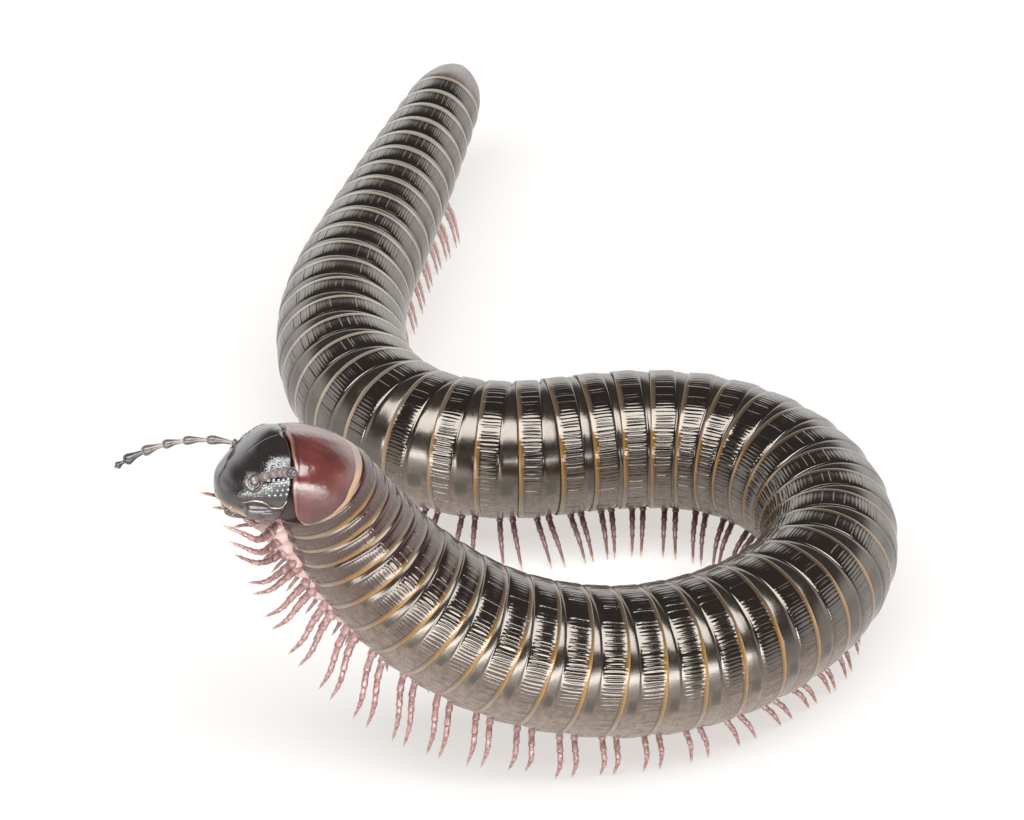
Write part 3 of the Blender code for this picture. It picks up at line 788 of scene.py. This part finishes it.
def add_legs(material):
    """The legs of each length of trunk, with the bulging plates between their roots."""
    chance = random.Random(SEED)
    for first, last in LENGTHS:
        shape = Shape()
        if first < RIDGE_DROP[-1][0]:
            add_ridge(shape, first, last)
        for ring in range(first, min(last, LAST_LEG_RING) + 1):
            shade_and_glare = smooth(LEG_SHADE_AND_GLARE, ring)
            stout_root = smooth(LEG_STOUT, ring)
            places = (SINGLE_PLACE,) if ring in SINGLE_PAIR_RINGS else PAIR_PLACES
            for order, along in enumerate(places):
                place = ring - 1 + along
                for side in (1, -1):
                    points, back = leg_joints(place, side, 2 * ring + order, chance)
                    add_leg(shape, points, back, shade_and_glare, stout_root)
                point, back, up, left, radius = body_frame(place)
                length = smooth(RING_LENGTH, place) * (0.42 if len(places) == 1 else 0.24)
                plate = point - up * (radius * BELLY_FLAT - 0.1)
                shape.egg(plate, [back, left, up], [length, *PLATE_SIZE], 2.4, skin=(0.1, 0, shade_and_glare))
        shape.build(f"legs_{first:02d}_{last:02d}", material)


def head_surface(height, angle):
    """Forward, left and up on the head at a height and an angle from its left side to its right."""
    front = smooth(HEAD_REACH, height)
    half_width = smooth(HEAD_HALF_WIDTH, height)
    forward = HEAD_BACK + (front - HEAD_BACK) * np.abs(np.sin(angle)) ** HEAD_ROUNDING
    return np.stack(np.broadcast_arrays(forward, half_width * np.cos(angle), height), -1)


def head_spot(forward, height, side):
    """The head's surface point at a forward reach and height on one side, and its outward direction."""
    front = smooth(HEAD_REACH, height)
    share = min(max((forward - HEAD_BACK) / (front - HEAD_BACK), 0), 0.999)
    angle = math.asin(share ** (1 / HEAD_ROUNDING))
    step = 0.01
    spot = head_surface(height, angle)
    round_step = head_surface(height, angle + step) - spot
    rise_step = head_surface(height + step, angle) - spot
    outward = unit(np.cross(rise_step, round_step))
    if outward[1] < 0:
        outward = -outward
    mirror = np.array([1, side, 1])
    return spot * mirror, outward * mirror


def head_relief(spots):
    """How far the head's surface rises at its points, and the skin values there."""
    forward, left, up = spots[..., 0], np.abs(spots[..., 1]), spots[..., 2]
    away = np.linalg.norm(np.stack([forward, left, up], -1) - head_spot(*SOCKET_SEAT, 1)[0], axis=-1)
    height, spacing, reach = SOCKET_RIPPLE
    rise = height * np.cos(away * math.tau / spacing) * bell(away, reach, 4)
    height, distance, width = SOCKET_RING
    rise += height * bell(away - distance, width)
    for (depth, width, start, full), level in ((CROWN_LINE, up), (CHIN_NOTCH, -up)):
        rise -= depth * bell(left, width) * fade(level, start, full)
    depth, height, width, start, full = MOUTH_LINE
    rise -= depth * bell(up - height, width) * fade(forward, start, full)
    eye_away = np.hypot((forward - EYE[0]) / EYE_FIELD_SIZE[0], (up - EYE[2]) / EYE_FIELD_SIZE[1])
    patch = fade(1.3 - eye_away, 0, 0.4) * fade(left, 0.5, 1.2)
    beads = fade(1 - eye_away, 0, 0.2) * patch
    rise += EYE_FIELD_RISE * patch
    cheek = fade(left, 0.9, 1.4) * fade(forward, 1.2, 1.6) * fade(-up, -1.3, -0.8) * fade(up, -0.75, -0.5)
    wrinkled = np.clip(patch - 1.6 * beads + bell(away, 0.75, 4) + cheek * CHEEK_WRINKLES, 0, 1)
    wrinkled *= np.where(spots[..., 1] < 0, FAR_SIDE_WRINKLES, 1)
    tan = fade(-up, 1.05, 1.55) * fade(forward, 0.9, 1.6)
    return rise, np.stack([wrinkled, tan, bell(away, 0.5, 6)], -1)


def add_head(material):
    low, high = HEAD_SLICES[0][0], HEAD_SLICES[-1][0]
    heights = low + (high - low) * (1 - np.cos(np.linspace(0, math.pi, HEAD_LEVELS))) / 2
    angles = np.linspace(0, math.pi, HEAD_COLUMNS)
    spots = head_surface(heights[:, None], angles[None])
    across = np.gradient(spots, axis=1)
    upward = np.gradient(spots, axis=0)
    outward = unit(np.cross(across, upward))
    outward *= np.sign(outward[HEAD_LEVELS // 2, HEAD_COLUMNS // 2, 0])
    rise, skin = head_relief(spots)
    spots = spots + outward * rise[..., None]
    shape = Shape()
    shape.sweep(head_point(spots[..., 0], spots[..., 1], spots[..., 2]), skin)
    shape.build("head_capsule", material, ["head"])


def add_ocelli(material):
    """The eyes: a field of small glossy beads in curved rows on each side of the head."""
    for side, label in ((1, "left"), (-1, "right")):
        shape = Shape()
        for front, front_height, rear, rear_height, number in OCELLI_ROWS:
            for share in np.linspace(0, 1, number):
                reach = front + (rear - front) * share
                spot, outward = head_spot(reach, front_height + (rear_height - front_height) * share, side)
                along = unit(np.cross(outward, [0, 0, 1]))
                directions = np.array([along, np.cross(outward, along), outward]) @ HEAD_AXES
                sizes = [OCELLUS_RADIUS, OCELLUS_RADIUS * 0.9, OCELLUS_RISE]
                shape.egg(head_point(*(spot + outward * EYE_FIELD_RISE)), directions, sizes, 2, 8, 12)
        shape.build(f"ocelli_{label}", material, [f"eye_{label}"])


def add_cheek_rims(material):
    """The pale rim under each cheek, thinner towards its ends."""
    shape = Shape()
    stations = 60
    marks = np.linspace(0, 1, len(CHEEK_RIM))
    shares = np.linspace(0, 1, stations)
    reaches, heights = (smooth(list(zip(marks, knots)), shares) for knots in zip(*CHEEK_RIM))
    radii = CHEEK_RIM_RADIUS * np.sin(np.linspace(0.25, math.pi - 0.25, stations)) ** 0.4
    for side in (1, -1):
        spots = [head_spot(reach, height, side) for reach, height in zip(reaches, heights)]
        shape.tube([head_point(*(spot + outward * 0.03)) for spot, outward in spots], radii, 10, twist=UP)
    shape.build("cheek_rims", material)


def add_bristles(material):
    """Short pale hairs over the mouth edge."""
    chance = random.Random(SEED)
    shape = Shape()
    for height, number, length in BRISTLE_ROWS:
        for angle in np.linspace(0.28, 0.72, number) * math.pi:
            spot = head_surface(height, angle + chance.uniform(-0.04, 0.04))
            outward = unit([spot[0] - HEAD_BACK, spot[1] * 1.4, -0.45 + chance.uniform(-0.2, 0.2)])
            share = np.linspace(0, 1, 6)[:, None]
            droop = np.array([0, 0, -0.12]) * share**2
            reach = length * chance.uniform(0.7, 1.1)
            line = spot + (outward * share + droop) * reach
            shape.tube(head_point(*line.T), BRISTLE_RADIUS * (1.15 - share[:, 0]), 5, twist=LEFT)
    shape.build("bristles", material)


def add_mouth(material):
    """The mandibles' lobes and the plate under the mouth, with its two halves."""
    for side, label in ((1, "left"), (-1, "right")):
        shape = Shape()
        centre = head_point(MANDIBLE[0], side * MANDIBLE[1], MANDIBLE[2])
        shape.egg(centre, HEAD_AXES, MANDIBLE_SIZE, 2.5, 40, 60)
        lobe = centre - FORWARD * 0.15 + UP * 0.1 + LEFT * side * 0.25
        shape.egg(lobe, HEAD_AXES, [0.75, 0.5, 0.3], 2.2, 30, 40)
        shape.build(f"mandible_lobe_{label}", material, [f"mandible_{label}"])
    shape = Shape()
    centre = head_point(*MOUTH_PLATE)
    shape.egg(centre, HEAD_AXES, MOUTH_PLATE_SIZE, 2.5, 30, 48)
    for side in (1, -1):
        lobe = centre + LEFT * side * 0.36 + FORWARD * 0.25 - UP * 0.1
        shape.egg(lobe, HEAD_AXES, [1.1, 0.34, 0.46], 2.3, 30, 40)
    shape.build("gnathochilarium", material, ["mouth_plate"])


def add_neck(material):
    """The red skin that joins the head to the body inside the collum, painted dark as shade."""
    shape = Shape()
    point, back, up, left, _ = body_frame(1)
    start = point + back * 0.3
    end = NECK + FORWARD * 0.9
    share = np.linspace(0, 1, 20)
    line = start + (end - start) * share[:, None]
    shape.tube(line, 2.35 - 0.25 * share, 40)
    shape.build("neck", material)


def collum_sheet(angle, shares, rise):
    """Points of the collum at one angle from its top, from its rear towards the head."""
    rear, back, _, left, radius = body_frame(1)
    points = []
    for share, lift in zip(shares, rise):
        inside = min(share, 1)
        facing = between(-back, FORWARD, max(inside, 0))
        side = between(left, LEFT, max(inside, 0))
        over = unit(np.cross(facing, side))
        centre = rear + (NECK - rear) * inside + facing * max(share - 1, 0) * COLLUM_FRONT_STEP
        size = radius + (COLLUM_FRONT_RADIUS - radius) * inside + lift
        points.append(centre + (over * math.cos(angle) + side * math.sin(angle)) * size)
    return np.array(points)


def add_collum(material):
    """A thick shield with a raised rim in front and a pale band behind."""
    length = np.linalg.norm(NECK - body_frame(1)[0])
    steps = np.linspace(0, 1, COLLUM_STATIONS)
    turns = np.sin(np.linspace(-math.pi / 2, math.pi / 2, COLLUM_ROWS))
    rows, skins = [], []
    for turn in turns:
        degrees = abs(turn) * COLLUM_WRAP
        rear = smooth(COLLUM_REAR_EDGE, degrees)
        turned = COLLUM_TURN * fade(-turn * COLLUM_WRAP, 0, 30)
        front = smooth(COLLUM_FRONT_EDGE, degrees) - turned
        shares = rear + (front - rear) * (1 - np.cos(steps * math.pi)) / 2
        from_rear = (shares - rear) * length * 1.25
        from_front = (front - shares) * length * 1.25
        end_room = np.minimum((1 - abs(turn)) * COLLUM_WRAP * math.radians(1) * 2.8, 3)
        edges = ((from_front, COLLUM_FRONT_RELIEF), (from_rear, COLLUM_REAR_RELIEF))
        relief = sum(height * bell(away - distance, width)
                     for away, lines in edges for height, distance, width in lines)
        least, more = COLLUM_SWELL
        swell = (least + more * fade(degrees, 10, 50)) * np.sin(steps * math.pi) ** 0.8
        swell = swell - COLLUM_TOP_DIP * fade(shares, 0.2, 1) * (1 - fade(degrees, 30, 65))
        angle = math.radians(turn * COLLUM_WRAP)
        outer = collum_sheet(angle, shares, relief + swell)
        inner = collum_sheet(angle, shares, swell - COLLUM_THICK * min(1, 0.25 + end_room))
        edge = from_front if degrees < 80 else np.minimum(from_front, end_room)
        rear_edge = np.minimum(from_rear, end_room * 2 + 0.05)
        skin = np.stack([np.full_like(shares, abs(turn)), rear_edge, edge], 1)
        rows.append(np.concatenate([outer, inner[::-1]]))
        skins.append(np.concatenate([skin, skin[::-1]]))
    shape = Shape()
    shape.sweep(rows, skins)
    shape.build("collum_shield", material, ["collum"])


def add_feeler(name, side, directions, material, replaced):
    """A feeler of club-shaped articles along the solid's curve, with four small cones at its tip."""
    start = head_point(SOCKET[0], side * SOCKET[1], SOCKET[2])
    first, last = (unit(direction) for direction in directions)
    total = sum(FEELER_JOINTS)
    shape = Shape()
    point = start - first * FEELER_THICK[0] * 0.6
    travelled = 0
    line, radii, skin = [], [], []
    for length, thick in zip(FEELER_JOINTS, FEELER_THICK):
        for share, width in FEELER_SHAPE:
            along = between(first, last, min((travelled + share * length) / total, 1))
            line.append(point + along * share * length)
            radii.append(thick * width)
            tip = 1 if travelled / total > 0.75 else 0
            skin.append((1 if share < 0.1 or share > 0.95 else 0.5 if share < 0.35 else 0, tip, 0))
        travelled += length
        point = point + between(first, last, min(travelled / total, 1)) * length
    line.append(point)
    radii.append(FEELER_THICK[-1] * 0.3)
    skin.append((0, 0, 0))
    shape.tube(line, radii, FEELER_SIDES, skin)
    across = unit(np.cross(last, [0, 0, 1]))
    other = np.cross(last, across)
    for aside in steps_round(across, other, np.array([0.25, 0.75, 1.25, 1.75]) * math.pi) * 0.05:
        cone = [point + aside - last * 0.05, point + aside + last * 0.03, point + aside * 1.2 + last * 0.09]
        shape.tube(cone, [0.03, 0.025, 0.008], 8)
    shape.build(name, material, [replaced])


def add_telson(material):
    """The last ring with its blunt hood, and the two rounded valves under it."""
    point, back, up, left, radius = body_frame(LAST_RING)
    shape = Shape()
    angles = np.linspace(0, math.tau, 96, endpoint=False)
    rows, skin = [], []
    for share, width in TELSON_PROFILE:
        hood = TELSON_HOOD * np.cos(angles / 2) ** 8 * share
        centre = point + back * (0.1 + TELSON_LENGTH * share) - up * TELSON_DROOP * share**2
        outline = steps_round(up, left, angles) * radius * width
        rows.append(centre + outline + back * (hood * TELSON_LENGTH)[:, None])
        skin.append(np.repeat([[share, 0, 0]], len(angles), 0))
    shape.sweep(rows, skin)
    shape.build("preanal_ring", material, ["telson"])
    valves = Shape()
    for side in (1, -1):
        centre = point + back * TELSON_LENGTH * VALVE_PLACE + left * side * radius * VALVE_ASIDE
        centre -= up * (TELSON_DROOP * 0.6)
        facing = unit(back + left * side * 0.1)
        aside = unit(np.cross(up, facing)) * side
        sizes = np.array(VALVE_SIZE) * (TELSON_LENGTH, radius, radius)
        valves.egg(centre, [facing, aside, np.cross(facing, aside)], sizes, 2.2, 40, 48)
    valves.build("anal_valves", material)


def add_facing(name, data, target, elevation, distance):
    """A light or camera that faces a point from the photo's side, at an angle above the floor."""
    rise = math.radians(elevation)
    thing = add_object(name, data)
    thing.location = (np.array(target) + np.array([0, -math.cos(rise), math.sin(rise)]) * distance) * MM
    thing.rotation_euler = (math.pi / 2 - rise, 0, 0)
    return thing


def add_light(name, elevation, distance, width, height, power):
    """A soft light that faces the model."""
    light = bpy.data.lights.new(name, "AREA")
    light.shape = "RECTANGLE"
    light.size = width * MM
    light.size_y = height * MM
    light.energy = power
    add_facing(name, light, (0, 0, 0), elevation, distance)


def add_stage():
    """A pale floor, two soft lights and a dim sky that is brighter behind the model."""
    half = FLOOR_HALF * MM
    corners = [(-half, -half, 0), (half, -half, 0), (half, half, 0), (-half, half, 0)]
    mesh = bpy.data.meshes.new("floor")
    mesh.from_pydata(corners, [], [(0, 1, 2, 3)])
    floor = add_object("floor", mesh)
    paint = Paint(bpy.data.materials.new("floor"))
    cloud = paint.noise(3, 2)
    grey = paint.blend(cloud, (0.245, 0.25, 0.255), (0.26, 0.265, 0.27))
    mesh.materials.append(paint.finish(Base_Color=grey, Roughness=0.35, IOR=1.3,
                                       Emission_Color=(1, 0.955, 0.91), Emission_Strength=FLOOR_GLOW))
    for name, settings in LIGHTS.items():
        add_light(name, *settings)
    add_sky()


def add_sky():
    """A studio that is white low down around and behind the model, and dim above and towards the camera."""
    world = bpy.data.worlds.new("studio")
    bpy.context.scene.world = world
    sky = Paint(world)
    where = sky.node("TexCoord").outputs["Generated"]
    height = sky.node("SeparateXYZ", Vector=where).outputs["Z"]
    facing = sky.node("VectorMath")
    facing.operation = "DOT_PRODUCT"
    sky.put(facing.inputs[0], where)
    sky.put(facing.inputs[1], DARK_SIDE)
    top = sky.band(height, *SKY_TOP, SKY_BRIGHT, SKY_DIM)
    side = sky.band(facing.outputs["Value"], *SKY_SIDE, SKY_BRIGHT, SKY_DIM)
    background = sky.tree.nodes["Background"]
    sky.put(background.inputs["Color"], (1, 1, 1))
    sky.put(background.inputs["Strength"], sky.times(top, side))


def add_camera():
    camera = bpy.data.cameras.new("camera")
    camera.lens = CAMERA_LENS
    camera.sensor_width = 36
    camera.clip_start = 0.01
    place = (CAMERA_TARGET, CAMERA_ELEVATION, CAMERA_DISTANCE)
    bpy.context.scene.camera = add_facing("camera", camera, *place)
    bpy.context.scene.view_settings.view_transform = "Standard"


def main():
    horn = plain_material("mandible", (0.02, 0.017, 0.017), (0.06, 0.048, 0.046), 2500, 0.28, IOR=1.6,
                          Coat_Weight=0.5, Coat_Roughness=0.12)
    mouth_skin = plain_material("mouth_skin", (0.2, 0.11, 0.09), (0.33, 0.21, 0.16), 2500, 0.35, IOR=1.5)
    # Painted shade: the red neck skin is made near black, as the shade in the gap under the collum
    neck_painted_shade = plain_material("neck_skin_painted_shade", (0.015, 0.006, 0.005), (0.035, 0.012, 0.009), 2000, 0.4, IOR=1.45)
    cream = plain_material("rim", (0.11, 0.068, 0.045), (0.52, 0.43, 0.34), 1700, 0.3, IOR=1.5,
                           Coat_Weight=0.4)
    hair = plain_material("bristle", (0.62, 0.45, 0.26), (0.74, 0.6, 0.4), 4000, 0.35, IOR=1.5)
    bead = plain_material("ocellus", (0.003, 0.003, 0.004), (0.008, 0.008, 0.01), 3000, 0.08, 0.001, IOR=2.2,
                          Coat_Weight=1, Coat_Roughness=0.04)
    tail = plain_material("tail", (0.055, 0.042, 0.036), (0.12, 0.092, 0.08), 1500, 0.3, IOR=1.7)
    feeler = feeler_material()
    add_trunk()
    add_legs(leg_material())
    add_collum(collum_material())
    add_neck(neck_painted_shade)
    add_head(head_material())
    add_ocelli(bead)
    add_cheek_rims(cream)
    add_bristles(hair)
    add_mouth(horn)
    add_feeler("feeler_left", 1, FEELER_LEFT, feeler, "antenna_left")
    add_feeler("feeler_right", -1, FEELER_RIGHT, feeler, "antenna_right")
    add_telson(tail)
    add_stage()
    add_camera()


main()
